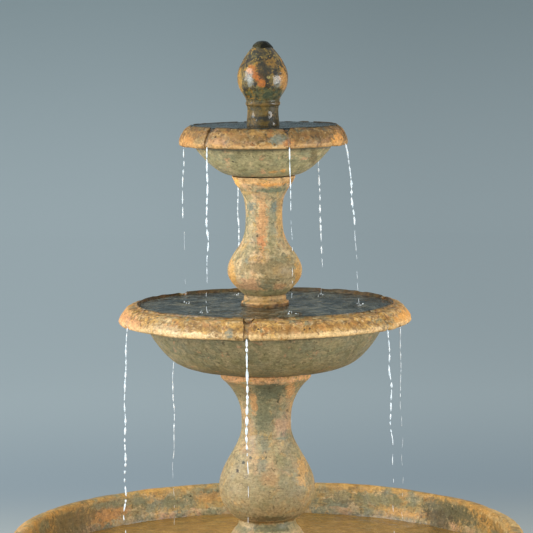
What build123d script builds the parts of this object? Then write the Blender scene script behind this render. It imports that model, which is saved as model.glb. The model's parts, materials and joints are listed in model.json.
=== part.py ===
from build123d import *
import math
import os

# A three-tier garden fountain of cast stone: a wide basin on a hollow base, two turned pedestals,
# two shallow bowls with spillways cut across their rims, and a bud-shaped finial. A small pump
# stands under a bell in the basin and lifts the water through one straight tube to the finial.
# +Z is up, the origin is the centre of the foot on the ground, and the front of the fountain is -Y.

# ------------------------------------------------------------------ driving dimensions, mm
PAD = 2.0                    # levelling pads between the stacked castings

BASE_H = 218.0               # hollow base under the basin
BASE_FOOT_R = 275.0
BASE_WAIST_R = 222.0
BASE_TOP_R = 248.0
BASE_HOLLOW_R = 186.0
LEAD_NOTCH_W = 60.0          # notch in the back of the foot, where the lead comes out
LEAD_NOTCH_H = 36.0

BASIN_Z = BASE_H + PAD       # underside of the basin
BASIN_R = 622.0
BASIN_RIM_Z = 470.0
BASIN_FLOOR_Z = 262.0        # inside floor

HOUSING_TOP_Z = 440.0        # bell over the pump, standing on the basin's floor
HOUSING_FOOT_R = 136.0
HOUSING_TOP_R = 108.0
HOUSING_HOLLOW_R = 98.0
HOUSING_SLAB = 40.0          # thickness of the bell's top
HOUSING_HOLE_R = 36.0
ARCH_W = 64.0                # four water ways at the bell's foot
ARCH_H = 56.0

LOWER_Z = HOUSING_TOP_Z + PAD     # lower pedestal
LOWER_H = 419.0
LOWER_BORE_R = 32.0

MIDDLE_Z = LOWER_Z + LOWER_H + PAD    # middle bowl: underside
MIDDLE_R = 354.0
MIDDLE_H = 163.0
MIDDLE_CREST_R = 310.0
MIDDLE_BOSS_R = 71.0
MIDDLE_BOSS_H = 137.0        # boss top above the bowl's underside
MIDDLE_SPILLS = (-7.0, 55.0, 108.5, 170.0, 222.0, 291.0)    # degrees from the front, towards +X
MIDDLE_SPILL_W = 20.0

UPPER_Z = MIDDLE_Z + MIDDLE_BOSS_H + PAD    # upper pedestal
UPPER_H = 332.0
UPPER_BORE_R = 20.0

TOP_Z = UPPER_Z + UPPER_H + PAD       # top bowl: underside
TOP_R = 202.5
TOP_H = 120.0
TOP_CREST_R = 177.0
TOP_BOSS_R = 45.0
TOP_BOSS_H = 104.0
TOP_SPILLS = tuple(18.0 + 60.0 * i for i in range(6))
TOP_SPILL_W = 12.0

FINIAL_Z = TOP_Z + TOP_BOSS_H
FINIAL_H = 214.0
NOZZLE_R = 6.0

TUBE_R = 9.5                 # riser tube
TUBE_IN_R = 6.4
TUBE_BOTTOM_Z = 356.0
TUBE_TOP_Z = FINIAL_Z + 35.0

STOPPER_HOLE_R = 16.0        # holes down the middle of both bowls
STOPPER_L = 30.0
STOPPER_HEAD_H = 5.0

LEAD_HOLE = (-30.0, 66.0)    # hole for the pump's lead, in the basin's floor
DRAIN_HOLE = (-115.0, -115.0)
DRAIN_R = 17.0

PUMP_Z = 304.0               # the pump's shaft runs along X at this height
PUMP_FLOOR_Z = BASIN_FLOOR_Z + 8.0
MOTOR_X = (-92.0, -20.0)
MOTOR_W = 60.0
MOTOR_H = 68.0
VOLUTE_X = (-20.0, 16.0)
VOLUTE_W = 56.0
CHAMBER_R = 22.0
ROTOR_R = 13.0
SHAFT_R = 2.0
STRAINER_X = (10.5, 56.0)
STRAINER_HALF = 31.0         # half its width and height
STRAINER_WALL = 2.5
PORT_R = 3.6                 # intake ports in the strainer's face and in the dial over it
PORT_PCR = 13.0
DIAL_STEM_R = 3.0
FIT = 0.05                   # clearance of the turning parts on the shaft
LOOSE = 0.3                  # clearance of the rubber stoppers and the nozzle in their holes


# ------------------------------------------------------------------ helpers
def at(r, z):
    """A point of a turned outline, at radius r and height z."""
    return (r, 0, z)


def line(*points):
    return Polyline(*[at(r, z) for r, z in points])


def curve(*points, start=None, end=None):
    """A smooth stretch of outline; start and end are its directions (dr, dz) there."""
    ends = [at(*start), at(*end)] if start and end else None
    return Spline(*[at(r, z) for r, z in points], tangents=ends)


def turned(*stretches):
    """The solid turned about Z from an outline's stretches, which meet end to end and close."""
    edges = [edge for stretch in stretches for edge in stretch.edges()]
    return revolve(Face(Wire(edges)), Axis.Z)


def rod(r, z0, z1, x=0.0, y=0.0):
    """An upright cylinder."""
    return Pos(x, y, (z0 + z1) / 2) * Cylinder(r, z1 - z0)


def rod_x(r, x0, x1, y=0.0, z=PUMP_Z):
    """A cylinder along X."""
    return Pos((x0 + x1) / 2, y, z) * Rot(0, 90, 0) * Cylinder(r, x1 - x0)


def block(x, y, z):
    """A box from three (low, high) pairs."""
    size = [pair[1] - pair[0] for pair in (x, y, z)]
    middle = [(pair[0] + pair[1]) / 2 for pair in (x, y, z)]
    return Pos(*middle) * Box(*size)


def around(shape, angles):
    """Copies of a shape drawn along +X, at angles in degrees from the front towards +X."""
    return [Rot(0, 0, angle - 90) * shape for angle in angles]


def write(name, shape):
    export_step(shape, f"parts/{name}.step")


# ------------------------------------------------------------------ castings
def spillway(crest_r, crest_z, rim_r, lip_z, width, depth, face_depth):
    """The cutter of one spillway: a channel over the crest and down the rim's outer face."""
    floor_z = crest_z - depth
    face_r = rim_r - face_depth
    inner_r = crest_r - 30
    floor = line((inner_r, floor_z), (crest_r + 4, floor_z))
    fall = curve((crest_r + 4, floor_z), (face_r, lip_z), start=(1, 0), end=(0.2, -1))
    rest = line((face_r, lip_z), (face_r, lip_z - 20), (rim_r + 20, lip_z - 20),
                (rim_r + 20, crest_z + 20), (inner_r, crest_z + 20), (inner_r, floor_z))
    edges = [edge for stretch in (floor, fall, rest) for edge in stretch.edges()]
    return extrude(Face(Wire(edges)), amount=width / 2, dir=(0, 1, 0), both=True)


def base_pedestal():
    """Hollow turned base with a notch at the back for the lead."""
    body = turned(
        line((BASE_HOLLOW_R, 0), (BASE_FOOT_R - 6, 0), (BASE_FOOT_R, 6), (BASE_FOOT_R, 30)),
        curve((BASE_FOOT_R, 30), (BASE_FOOT_R - 14, 46), start=(0, 1), end=(-1, 0)),
        curve((BASE_FOOT_R - 14, 46), (BASE_WAIST_R, 112), (BASE_TOP_R - 8, 186),
              start=(-1, 0.2), end=(1, 1.2)),
        line((BASE_TOP_R - 8, 186), (BASE_TOP_R, 192), (BASE_TOP_R, BASE_H - 4),
             (BASE_TOP_R - 4, BASE_H), (BASE_HOLLOW_R, BASE_H), (BASE_HOLLOW_R, 0)),
    )
    half = LEAD_NOTCH_W / 2
    notch = block((-half, half), (BASE_HOLLOW_R - 20, BASE_FOOT_R + 20), (-1, LEAD_NOTCH_H))
    return body - notch


def basin():
    """The wide basin: rolled rim, steep wall, flat floor with a lead hole and a drain."""
    rim, floor = BASIN_RIM_Z, BASIN_FLOOR_Z
    body = turned(
        line((0, BASIN_Z), (250, BASIN_Z)),
        curve((250, BASIN_Z), (425, 238), (540, 287), (594, 352), (606, rim - 54),
              start=(1, 0), end=(0, 1)),
        line((606, rim - 54), (616, rim - 50), (BASIN_R, rim - 43), (BASIN_R, rim - 14)),
        curve((BASIN_R, rim - 14), (606, rim), (588, rim - 4), start=(0, 1), end=(-0.5, -1)),
        curve((588, rim - 4), (570, 380), (520, 308), (420, 270), (320, floor),
              start=(-0.15, -1), end=(-1, 0)),
        line((320, floor), (0, floor), (0, BASIN_Z)),
    )
    body -= rod(STOPPER_HOLE_R, BASIN_Z - 1, floor + 1, *LEAD_HOLE)
    body -= rod(DRAIN_R, BASIN_Z - 1, floor + 1, *DRAIN_HOLE)
    return body


def pump_housing():
    """The bell over the pump, which carries the tiers above it."""
    floor, top = BASIN_FLOOR_Z, HOUSING_TOP_Z
    ceiling = top - HOUSING_SLAB
    body = turned(
        line((HOUSING_HOLLOW_R, floor), (HOUSING_FOOT_R, floor), (HOUSING_FOOT_R, floor + 16)),
        curve((HOUSING_FOOT_R, floor + 16), (118, 322), (HOUSING_TOP_R, top - 10),
              start=(-1, 0.6), end=(0, 1)),
        line((HOUSING_TOP_R, top - 10), (HOUSING_TOP_R - 8, top), (48, top), (48, top + 8),
             (HOUSING_HOLE_R, top + 8), (HOUSING_HOLE_R, ceiling), (HOUSING_HOLLOW_R - 12, ceiling),
             (HOUSING_HOLLOW_R, ceiling - 12), (HOUSING_HOLLOW_R, floor)),
    )
    reach = (0, HOUSING_FOOT_R + 10)
    spring = floor + ARCH_H - ARCH_W / 2
    way = block(reach, (-ARCH_W / 2, ARCH_W / 2), (floor - 1, spring))
    way += rod_x(ARCH_W / 2, *reach, z=spring)
    for cut in around(way, (0, 90, 180, 270)):
        body -= cut
    return body


def lower_pedestal():
    """The turned pedestal under the middle bowl, with a spigot on top and a socket below."""
    z, top = LOWER_Z, LOWER_Z + LOWER_H
    return turned(
        line((LOWER_BORE_R, z + 9), (51, z + 9), (51, z), (98, z), (100, z + 2), (100, z + 8)),
        curve((100, z + 8), (81, z + 30), (69.5, z + 46), start=(-1, 0.3), end=(-0.15, 1)),
        line((69.5, z + 46), (68, z + 57)),
        curve((68, z + 57), (98, z + 81), (112, z + 108), (116, z + 134), (101, z + 189),
              (74, z + 238), (62.5, z + 268), (60.5, z + 295), (62, z + 320), (68, z + 345),
              (77, z + 365), (87, z + 381), (105, z + 399)),
        line((105, z + 399), (109, z + 403), (110, z + 407), (110, top), (58, top), (58, top + 8),
             (LOWER_BORE_R, top + 8), (LOWER_BORE_R, z + 9)),
    )


def middle_bowl():
    """The wide shallow bowl of the middle tier, with a boss for the upper pedestal."""
    z, crest = MIDDLE_Z, MIDDLE_Z + MIDDLE_H
    boss, boss_r = MIDDLE_Z + MIDDLE_BOSS_H, MIDDLE_BOSS_R
    body = turned(
        line((STOPPER_HOLE_R, z + 10), (61, z + 10), (61, z), (110, z)),
        curve((110, z), (174, z + 8), (217, z + 24), (252, z + 56), (276, z + 90), (288, z + 118),
              start=(1, 0.05), end=(0.3, 1)),
        line((288, z + 118), (344, z + 118)),
        curve((344, z + 118), (MIDDLE_R, z + 126), (342, z + 147), (328, z + 159),
              (MIDDLE_CREST_R, crest), (302, z + 155), start=(1, 0), end=(-0.5, -1)),
        curve((302, z + 155), (262, z + 101), (200, z + 55), (130, z + 33), (boss_r + 16, z + 29),
              start=(-0.5, -1), end=(-1, 0)),
        curve((boss_r + 16, z + 29), (boss_r + 2, z + 45), start=(-1, 0), end=(-0.05, 1)),
        line((boss_r + 2, z + 45), (boss_r, boss - 4), (boss_r - 4, boss), (30, boss),
             (30, boss + 8), (STOPPER_HOLE_R, boss + 8), (STOPPER_HOLE_R, z + 10)),
    )
    cutter = spillway(MIDDLE_CREST_R, crest, MIDDLE_R, z + 123, MIDDLE_SPILL_W, 12, 7)
    for cut in around(cutter, MIDDLE_SPILLS):
        body -= cut
    return body


def upper_pedestal():
    """The slimmer pedestal under the top bowl: a round plinth, a thin ring, a bulb and a neck."""
    z, top = UPPER_Z, UPPER_Z + UPPER_H
    return turned(
        line((UPPER_BORE_R, z + 9), (32.5, z + 9), (32.5, z), (57, z), (58, z + 1), (58, z + 25)),
        curve((58, z + 25), (51, z + 31), start=(0, 1), end=(-1, 0.1)),
        line((51, z + 31), (50, z + 31.5)),
        curve((50, z + 31.5), (51.5, z + 37), (49.5, z + 42.5), start=(0.5, 1), end=(-1, 0.6)),
        line((49.5, z + 42.5), (48.5, z + 45)),
        curve((48.5, z + 45), (68, z + 63), (82, z + 80), (89.5, z + 104), (78, z + 138),
              (54, z + 176), (44, z + 226), (50.5, z + 283), (60, z + 301), (69, z + 314),
              (76, z + 329), start=(1, 0.7), end=(0.6, 1)),
        line((76, z + 329), (76.5, top), (36, top), (36, top + 8), (UPPER_BORE_R, top + 8),
             (UPPER_BORE_R, z + 9)),
    )


def top_bowl():
    """The small bowl of the top tier, with a boss for the finial."""
    z, crest = TOP_Z, TOP_Z + TOP_H
    boss, boss_r = TOP_Z + TOP_BOSS_H, TOP_BOSS_R
    body = turned(
        line((STOPPER_HOLE_R, z + 9), (38.5, z + 9), (38.5, z), (76, z)),
        curve((76, z), (100, z + 7), (130, z + 29), (152, z + 52), (166, z + 72),
              start=(1, 0.05), end=(0.5, 1)),
        line((166, z + 72), (196, z + 72)),
        curve((196, z + 72), (TOP_R, z + 80), (196, z + 100), (188, z + 112),
              (TOP_CREST_R, crest), (171, z + 113), start=(1, 0), end=(-0.4, -1)),
        curve((171, z + 113), (150, z + 78), (112, z + 46), (76, z + 34), (boss_r + 12, z + 33),
              start=(-0.4, -1), end=(-1, 0)),
        curve((boss_r + 12, z + 33), (boss_r + 2, z + 45), start=(-1, 0), end=(-0.05, 1)),
        line((boss_r + 2, z + 45), (boss_r, boss - 3), (boss_r - 3, boss),
             (STOPPER_HOLE_R, boss), (STOPPER_HOLE_R, z + 9)),
    )
    cutter = spillway(TOP_CREST_R, crest, TOP_R, z + 77, TOP_SPILL_W, 9, 5)
    for cut in around(cutter, TOP_SPILLS):
        body -= cut
    return body


def finial():
    """The bud-shaped finial, loose on the top bowl's boss, bored for the nozzle."""
    z, top = FINIAL_Z, FINIAL_Z + FINIAL_H
    recess_r, bore_r, nozzle_hole_r = 21.0, 11.0, NOZZLE_R + LOOSE
    return turned(
        line((recess_r, z), (39, z), (40, z + 2), (39.5, z + 22)),
        curve((39.5, z + 22), (37.5, z + 42), (38.5, z + 62), start=(-0.1, 1), end=(0.3, 1)),
        curve((38.5, z + 62), (41.5, z + 67), (39.5, z + 74), start=(1, 0.6), end=(-0.4, 1)),
        curve((39.5, z + 74), (54.5, z + 101), (61, z + 131), (53, z + 160), (34, z + 190),
              (22, z + 203), start=(0.35, 1), end=(-1, 0.9)),
        curve((22, z + 203), (20, top - 6), (nozzle_hole_r + 3, top), start=(0, 1), end=(-1, 0.1)),
        line((nozzle_hole_r + 3, top), (nozzle_hole_r, top), (nozzle_hole_r, z + 52),
             (bore_r, z + 46), (bore_r, z + 8), (recess_r, z + 8), (recess_r, z)),
    )


# ------------------------------------------------------------------ plumbing, stoppers and pads
def finial_nozzle():
    """Copper tube down the finial, with a turned-over lip; its foot pushes into the riser."""
    bottom, top = FINIAL_Z - 10, FINIAL_Z + FINIAL_H
    return turned(line((NOZZLE_R - 1, bottom), (NOZZLE_R, bottom), (NOZZLE_R, top),
                       (NOZZLE_R + 2.5, top), (NOZZLE_R + 2.5, top + 1.5),
                       (NOZZLE_R - 1, top + 1.5), (NOZZLE_R - 1, bottom)))


def riser_tube():
    tube = rod(TUBE_R, TUBE_BOTTOM_Z, TUBE_TOP_Z)
    return tube - rod(TUBE_IN_R, TUBE_BOTTOM_Z - 1, TUBE_TOP_Z + 1)


def bowl_stopper(boss_z, head_r):
    """Rubber stopper round the riser, in the hole down a bowl's boss."""
    shank = STOPPER_HOLE_R - LOOSE
    bore = TUBE_R + FIT
    return turned(line((bore, boss_z - STOPPER_L), (shank - 1.5, boss_z - STOPPER_L),
                       (shank, boss_z - 8), (shank, boss_z), (head_r, boss_z),
                       (head_r - 1, boss_z + STOPPER_HEAD_H), (bore, boss_z + STOPPER_HEAD_H),
                       (bore, boss_z - STOPPER_L)))


def lead_stopper():
    """Rubber stopper in the basin's floor, with a hole for the pump's lead."""
    floor, shank, bore = BASIN_FLOOR_Z, STOPPER_HOLE_R - LOOSE, 4.0
    return Pos(*LEAD_HOLE, 0) * turned(
        line((bore, BASIN_Z + 4), (shank - 1.5, BASIN_Z + 4), (shank, floor - 10), (shank, floor),
             (shank + 5, floor), (shank + 4, floor + 6), (bore, floor + 6), (bore, BASIN_Z + 4)))


def drain_plug():
    """Rubber plug with a moulded grip."""
    floor, shank = BASIN_FLOOR_Z, DRAIN_R - LOOSE
    plug = turned(line((0, BASIN_Z + 12), (shank - 2, BASIN_Z + 12), (shank, floor - 8),
                       (shank, floor), (shank + 6, floor), (shank + 5, floor + 5),
                       (0, floor + 5), (0, BASIN_Z + 12)))
    grip = Pos(0, 0, floor + 13) * fillet(Box(24, 5, 18).edges().filter_by(Axis.Y), 6)
    return Pos(*DRAIN_HOLE, 0) * (plug + grip)


def pads(z, radius, length, width):
    """Three levelling pads between two castings, as separate solids."""
    pad = Pos(radius, 0, z + PAD / 2) * Box(width, length, PAD)
    return Compound(children=around(pad, (60, 180, 300)))


# ------------------------------------------------------------------ pump
def pump_motor():
    """Potted motor block with a blind well for the rotor and a groove for the seal."""
    half = MOTOR_W / 2
    body = block(MOTOR_X, (-half, half), (PUMP_FLOOR_Z, PUMP_FLOOR_Z + MOTOR_H))
    body = fillet(body.edges().filter_by(Axis.X), 9)
    body -= rod_x(ROTOR_R + 1.5, -76, MOTOR_X[1] + 1)
    body -= rod_x(27, MOTOR_X[1] - 3, MOTOR_X[1] + 1) - rod_x(23, MOTOR_X[1] - 4, MOTOR_X[1] + 2)
    for y, z in volute_screw_places():
        body -= rod_x(1.6, MOTOR_X[1] - 8, MOTOR_X[1] + 1, y, z)
    return body


def volute_screw_places():
    """The four corners where screws hold the volute to the motor."""
    return [(y, PUMP_Z + z) for y in (-23.5, 23.5) for z in (-23.5, 23.5)]


def pump_volute():
    """Impeller chamber with an intake in front and an outlet stub on top."""
    half = VOLUTE_W / 2
    x0, x1 = VOLUTE_X
    body = block(VOLUTE_X, (-half, half), (PUMP_Z - half, PUMP_Z + half))
    body = fillet(body.edges().filter_by(Axis.X), 8)
    body += rod(9, PUMP_Z + half - 2, TUBE_BOTTOM_Z - 4)
    body -= rod_x(CHAMBER_R, x0 - 1, 9)
    body -= rod_x(12, 0, x1 + 1)
    body -= rod(6, PUMP_Z + 10, TUBE_BOTTOM_Z)
    spokes = block((9, x1 - 2), (-12.5, 12.5), (PUMP_Z - 1.2, PUMP_Z + 1.2))
    spokes += block((9, x1 - 2), (-1.2, 1.2), (PUMP_Z - 12.5, PUMP_Z + 12.5))
    body += spokes + rod_x(6, 9, x1 - 2)
    body -= rod_x(4.6, 8, x1 - 4)
    for y, z in volute_screw_places():
        body -= rod_x(2.1, x0 - 1, x1 + 1, y, z)
    return body


def volute_screws():
    """Four screws, one solid each."""
    x1 = VOLUTE_X[1]
    screws = []
    for y, z in volute_screw_places():
        screw = rod_x(1.5, MOTOR_X[1] - 7, x1, y, z) + rod_x(3.2, x1, x1 + 2.4, y, z)
        slot = block((x1 + 1.2, x1 + 3), (y - 4, y + 4), (z - 0.4, z + 0.4))
        screws.append(screw - slot)
    return Compound(children=screws)


def pump_impeller():
    """Six straight blades on a hub and a back disc."""
    wheel = rod_x(5, -13.5, 7) + rod_x(19, -12, -9.5)
    blade = block((-10, 5), (-0.9, 0.9), (PUMP_Z + 3, PUMP_Z + 19))
    axle = Axis((0, 0, PUMP_Z), (1, 0, 0))
    for i in range(6):
        wheel += blade.rotate(axle, 60 * i)
    return wheel - rod_x(SHAFT_R + FIT, -20, 20)


def pump_rotor():
    return rod_x(ROTOR_R, -68, -13.5) - rod_x(SHAFT_R + FIT, -80, 0)


def pump_shaft():
    return rod_x(SHAFT_R, -74, 10.5)


def pump_bush(x0, x1, r, bore):
    """Rubber cup that holds one end of the shaft; bore is its blind hole's reach along X."""
    return rod_x(r, x0, x1) - rod_x(SHAFT_R + FIT, *bore)


def volute_seal():
    return Pos(MOTOR_X[1] - 1.6, 0, PUMP_Z) * Rot(0, 90, 0) * Torus(25, 1.4)


def intake_ports(x0, x1):
    """Cutters of the four ports round the dial's stem."""
    ports = []
    for angle in (45, 135, 225, 315):
        y = PORT_PCR * math.cos(math.radians(angle))
        z = PUMP_Z + PORT_PCR * math.sin(math.radians(angle))
        ports.append(rod_x(PORT_R, x0, x1, y, z))
    return ports


def pump_strainer():
    """Slotted intake cage that pushes on over the volute; it pulls off forwards."""
    x0, x1 = STRAINER_X
    half, wall, slot_w, slot_half = STRAINER_HALF, STRAINER_WALL, 3.2, 20.0
    inner = half - wall
    low, high = PUMP_Z - half, PUMP_Z + half
    cage = fillet(block(STRAINER_X, (-half, half), (low, high)).edges().filter_by(Axis.X), 9)
    inside = block((x0 - 1, x1 - wall), (-inner, inner), (low + wall, high - wall))
    cage -= fillet(inside.edges().filter_by(Axis.X), 7)
    slot_z = (PUMP_Z - slot_half, PUMP_Z + slot_half)
    for y in (-25, 25):
        cage -= block((x1 - 5, x1 + 1), (y - slot_w / 2, y + slot_w / 2), slot_z)
    for x in range(24, 52, 6):
        cage -= block((x - slot_w / 2, x + slot_w / 2), (-half - 1, half + 1), slot_z)
    for port in intake_ports(x1 - 5, x1 + 1):
        cage -= port
    return cage - rod_x(DIAL_STEM_R + FIT, x1 - 5, x1 + 1)


def flow_dial():
    """Dial whose ports open the strainer's ports, and close them when it is turned 45 degrees."""
    x1 = STRAINER_X[1]
    face = x1 + 0.4
    dial = rod_x(19, face, face + 3)
    for port in intake_ports(face - 1, face + 4):
        dial -= port
    grip = block((face + 2, face + 9), (-17, 17), (PUMP_Z - 1.8, PUMP_Z + 1.8))
    clip = rod_x(5, x1 - STRAINER_WALL - 2.4, x1 - STRAINER_WALL - 0.4)
    return dial + grip + rod_x(DIAL_STEM_R, x1 - STRAINER_WALL - 2, face + 1) + clip


def suction_feet():
    """Four rubber suction cups, one solid each."""
    floor, top = BASIN_FLOOR_Z, PUMP_FLOOR_Z
    cup = turned(line((0, floor + 2), (6, floor), (9, floor), (6, floor + 3.5), (4.5, top),
                      (0, top), (0, floor + 2)))
    return Compound(children=[Pos(x, y, 0) * cup for x in (-82, -32) for y in (-20, 20)])


def cable_gland():
    """Moulded entry of the lead on top of the motor; the lead isn't part of the model."""
    top = PUMP_FLOOR_Z + MOTOR_H
    return Pos(-72, 0, 0) * turned(line((0, top), (9, top), (9, top + 3), (6, top + 14),
                                        (3.5, top + 14), (3.5, top + 2), (0, top + 2), (0, top)))


def outlet_barb():
    """Barbed tail in the volute's outlet, inside the foot of the riser tube."""
    foot = TUBE_BOTTOM_Z - 4
    outline = [(4.2, foot - 10), (5.9, foot - 10), (5.9, foot), (9, foot), (9, foot + 4), (5.4, foot + 4)]
    for i in range(4):
        z = foot + 6 + 5 * i
        outline += [(6.3, z), (5.4, z + 4)]
    outline += [(5.4, foot + 27), (4.2, foot + 27), (4.2, foot - 10)]
    return turned(line(*outline))


def worm_place():
    """The place of the clamp's worm screw, which lies along Y."""
    return Pos(TUBE_R + 4.8, 0, TUBE_BOTTOM_Z + 12) * Rot(90, 0, 0)


def hose_clamp():
    """Band clamp round the riser tube, with the worm's housing."""
    z = TUBE_BOTTOM_Z + 12
    band = rod(TUBE_R + 1.0, z - 4.5, z + 4.5) - rod(TUBE_R + FIT, z - 5, z + 5)
    worm = block((TUBE_R + 0.6, TUBE_R + 8.6), (-6, 6), (z - 4.5, z + 4.5))
    return band + worm - worm_place() * Cylinder(2.7, 20)


def hose_clamp_screw():
    """The clamp's worm screw, with a hexagonal head."""
    return worm_place() * (Cylinder(2.6, 19) + Pos(0, 0, 9) * extrude(RegularPolygon(3.8, 6), 4))


# ------------------------------------------------------------------ all sub-parts
def main():
    os.makedirs("parts", exist_ok=True)
    write("base_pedestal", base_pedestal())
    write("basin", basin())
    write("pump_housing", pump_housing())
    write("lower_pedestal", lower_pedestal())
    write("middle_bowl", middle_bowl())
    write("upper_pedestal", upper_pedestal())
    write("top_bowl", top_bowl())
    write("finial", finial())
    write("finial_nozzle", finial_nozzle())
    write("riser_tube", riser_tube())
    write("middle_bowl_stopper", bowl_stopper(UPPER_Z - PAD + 8, 19.0))
    write("top_bowl_stopper", bowl_stopper(FINIAL_Z, 18.0))
    write("lead_stopper", lead_stopper())
    write("drain_plug", drain_plug())
    write("levelling_pads_base", pads(BASE_H, 217, 40, 30))
    write("levelling_pads_foot", pads(HOUSING_TOP_Z, 76, 24, 24))
    write("levelling_pads_middle", pads(LOWER_Z + LOWER_H, 84, 24, 20))
    write("levelling_pads_upper", pads(UPPER_Z - PAD, 46, 16, 12))
    write("levelling_pads_top", pads(UPPER_Z + UPPER_H, 57, 18, 14))
    write("pump_motor", pump_motor())
    write("pump_volute", pump_volute())
    write("volute_screws", volute_screws())
    write("pump_impeller", pump_impeller())
    write("pump_rotor", pump_rotor())
    write("pump_shaft", pump_shaft())
    write("pump_bush_front", pump_bush(9, 12, 4.5, (8, 11)))
    write("pump_bush_rear", pump_bush(-76, -70, 7, (-74.5, -69)))
    write("volute_seal", volute_seal())
    write("pump_strainer", pump_strainer())
    write("flow_dial", flow_dial())
    write("suction_feet", suction_feet())
    write("cable_gland", cable_gland())
    write("outlet_barb", outlet_barb())
    write("hose_clamp", hose_clamp())
    write("hose_clamp_screw", hose_clamp_screw())


main()
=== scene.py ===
"""Looks of a three-tier garden fountain: weathered cast stone, running water, and a studio round them.

Units are metres. +Z is up, the front is -Y, and angles round the fountain are in degrees from the
front towards +X. Each casting is turned again from the outline of its CAD node, with more points,
worn edges, an uneven surface and its spillways, and stands for that node.
"""
import itertools
import json
import math

import bmesh
import bpy
import numpy as np
from mathutils import Matrix, Vector


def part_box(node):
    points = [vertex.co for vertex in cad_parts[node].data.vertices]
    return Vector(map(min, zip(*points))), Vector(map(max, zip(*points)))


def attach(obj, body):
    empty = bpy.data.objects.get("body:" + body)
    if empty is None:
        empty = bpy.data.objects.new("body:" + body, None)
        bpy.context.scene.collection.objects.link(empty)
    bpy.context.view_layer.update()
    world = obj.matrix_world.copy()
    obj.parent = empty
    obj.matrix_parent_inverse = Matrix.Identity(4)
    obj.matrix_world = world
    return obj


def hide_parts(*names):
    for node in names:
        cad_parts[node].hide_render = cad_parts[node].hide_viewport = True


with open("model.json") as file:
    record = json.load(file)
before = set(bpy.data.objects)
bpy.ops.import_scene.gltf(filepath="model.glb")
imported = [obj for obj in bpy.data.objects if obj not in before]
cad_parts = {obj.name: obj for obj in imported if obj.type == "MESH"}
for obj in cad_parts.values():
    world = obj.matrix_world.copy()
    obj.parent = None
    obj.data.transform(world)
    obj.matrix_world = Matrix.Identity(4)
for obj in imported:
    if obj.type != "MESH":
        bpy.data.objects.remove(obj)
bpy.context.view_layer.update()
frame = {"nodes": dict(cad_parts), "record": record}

# ---------------- sizes and places, metres
CAMERA_DISTANCE = 6.0
CAMERA_HEIGHT = 1.745
CAMERA_SIDE = 0.0046
CAMERA_PITCH = 6.0           # degrees down
CAMERA_ROLL = 0.6            # degrees
CAMERA_LENS = 168.9          # mm, on a 36 mm sensor

WEAR = 0.0018                # how far the castings' corners are worn back

# Spillways: each one's angle, and the share of the full depth to which it is cut.
MIDDLE_SPILLS = ((-7.0, 1.0), (55.0, 0.9), (108.5, 0.8), (170.0, 1.0), (222.0, 1.0), (291.0, 0.55))
TOP_SPILLS = ((18.0, 0.9), (78.0, 0.6), (138.0, 1.0), (198.0, 1.0), (258.0, 0.7), (318.0, 0.8))
MIDDLE_CUT, TOP_CUT = 30, 48        # the angles at which the bowls' outlines are taken
MIDDLE_SPILL_W = 0.020
TOP_SPILL_W = 0.012
MIDDLE_SPILL_DEPTH = 0.009
TOP_SPILL_DEPTH = 0.008

# The basin's holes, for the stopper and the drain plug: where each is (x, y) and its radius.
BASIN_HOLES = ((-0.030, 0.066, 0.0162), (-0.115, -0.115, 0.0174))

BASIN_WATER_Z = 0.393
MIDDLE_WATER_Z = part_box("middle_bowl")[1].z - 0.0075
TOP_WATER_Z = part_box("top_bowl")[1].z - 0.0015
GRAVITY = 9.81


# ---------------- numbers
def rgb(red, green, blue, share=1.0):
    """A linear colour from sRGB values of 0 to 255, darker or lighter by a share."""
    return tuple(share * (v / 255 / 12.92 if v < 11 else ((v / 255 + 0.055) / 1.055) ** 2.4)
                 for v in (red, green, blue)) + (1.0,)


def outward(angle):
    """The horizontal direction at an angle in degrees from the front towards +X."""
    turn = math.radians(angle)
    return np.array((math.sin(turn), -math.cos(turn), 0.0))


def value_noise(points, cell, seed):
    """Smooth noise from -1 to 1 at an (n, 3) array of points."""
    scaled = points / cell
    low = np.floor(scaled).astype(np.int64)
    part = scaled - low
    part = part * part * (3 - 2 * part)
    total = np.zeros(len(points))
    for corner in itertools.product((0, 1), repeat=3):
        x, y, z = (low + corner).T
        mixed = (x * 73856093) ^ (y * 19349663) ^ (z * 83492791) ^ (seed * 50331653)
        mixed = ((mixed ^ (mixed >> 13)) * 1274126177) & 0xFFFFFFFF
        value = ((mixed ^ (mixed >> 16)) & 0xFFFF) / 0xFFFF
        total += value * np.prod(np.where(corner, part, 1 - part), axis=1)
    return total * 2 - 1


def smooth_step(value, low, high):
    part = np.clip((value - low) / (high - low), 0, 1)
    return part * part * (3 - 2 * part)


def turned(outline, turns):
    """The points or directions (r, z) of an outline at each turn, in radians from the front towards +X."""
    rings = np.zeros((len(outline), len(turns), 3))
    rings[..., 0] = outline[:, :1] * np.sin(turns)
    rings[..., 1] = -outline[:, :1] * np.cos(turns)
    rings[..., 2] = outline[:, 1:]
    return rings


def whole_turn(columns):
    """Even turns round the axis."""
    return np.linspace(0, 2 * math.pi, columns, endpoint=False)


def ring_faces(rows, columns, closed=False):
    """The faces between rings of points that are numbered ring by ring."""
    faces = []
    for row in range(rows if closed else rows - 1):
        ring, onward = row * columns, (row + 1) % rows * columns
        for column in range(columns):
            beside = (column + 1) % columns
            faces.append((ring + column, ring + beside, onward + beside, onward + column))
    return faces


# ---------------- meshes
def placed(name, data):
    """A new object in the scene."""
    made = bpy.data.objects.new(name, data)
    bpy.context.scene.collection.objects.link(made)
    return made


def new_object(name, verts, faces):
    """A smooth mesh in the scene."""
    mesh = bpy.data.meshes.new(name)
    mesh.from_pydata([tuple(v) for v in verts], [], faces)
    mesh.validate()
    mesh.polygons.foreach_set("use_smooth", [True] * len(mesh.polygons))
    return placed(name, mesh)


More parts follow.
